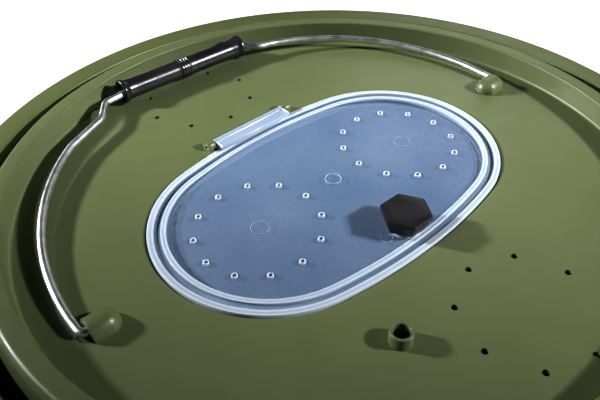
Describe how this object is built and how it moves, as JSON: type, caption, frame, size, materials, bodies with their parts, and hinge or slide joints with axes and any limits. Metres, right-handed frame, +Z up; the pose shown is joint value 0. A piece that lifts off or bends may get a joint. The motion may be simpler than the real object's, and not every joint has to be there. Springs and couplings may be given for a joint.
{
  "type": "aerated bait bucket",
  "caption": "Round green bait bucket with a lift-out perforated basket, a vented lid with a hose port and a clear oval hatch, a turn latch and wire bails.",
  "frame": {"origin": "centre of the foot ring's face, on the surface that the bucket stands on", "axes": "+Z up along the bucket's axis and the hose port, +X from the hatch's hinge towards its latch, +Y along the lid bail's pivot line"},
  "size_m": [0.3543, 0.3544, 0.2976],
  "materials": {
    "green_plastic": "satin moulded polypropylene, dark green",
    "lid_green_plastic": "satin moulded polypropylene, olive green",
    "clear_plastic": "translucent bluish moulded polypropylene",
    "black_plastic": "slightly glossy black moulded plastic",
    "zinc_wire": "bright zinc-plated wire",
    "steel": "plain zinc-plated steel"
  },
  "bodies": {
    "bucket": {"bucket_shell": "green_plastic"},
    "bucket_bail": {"bucket_bail": "zinc_wire"},
    "basket": {"basket": "green_plastic"},
    "lid": {"lid": "lid_green_plastic", "hinge_pin": "steel"},
    "lid_bail": {"lid_bail": "zinc_wire"},
    "lid_grip": {"lid_grip": "black_plastic"},
    "hatch": {"hatch": "clear_plastic"},
    "latch": {"latch_knob": "black_plastic", "latch_cam": "black_plastic", "latch_screw": "steel", "latch_washer": "steel", "latch_spring_washer": "steel"}
  },
  "joints": [
    {"name": "bucket_bail_swing", "type": "hinge", "parent": "bucket", "child": "bucket_bail", "pos_m": [0, 0, 0.2848], "axis": [0.1045, 0.9945, 0], "range_deg": [0, 180]},
    {"name": "basket_lift", "type": "slide", "parent": "bucket", "child": "basket", "axis": [0, 0, 1], "range_m": [0, 0.3]},
    {"name": "lid_lift", "type": "slide", "parent": "basket", "child": "lid", "axis": [0, 0, 1], "range_m": [0, 0.12]},
    {"name": "lid_bail_swing", "type": "hinge", "parent": "lid", "child": "lid_bail", "pos_m": [0, 0, 0.2867], "axis": [0, 1, 0], "range_deg": [0, 176.1]},
    {"name": "grip_turn", "type": "hinge", "parent": "lid_bail", "child": "lid_grip", "pos_m": [-0.12923, 0.0071, 0.29105], "axis": [0.0436, 0.999, -0.0015], "continuous": true},
    {"name": "hatch_swing", "type": "hinge", "parent": "lid", "child": "hatch", "pos_m": [-0.0618, 0, 0.2872], "axis": [0, -1, 0], "range_deg": [0, 110]},
    {"name": "latch_turn", "type": "hinge", "parent": "hatch", "child": "latch", "pos_m": [0.0434, 0, 0.2863], "axis": [0, 0, -1], "range_deg": [0, 90]}
  ]
}
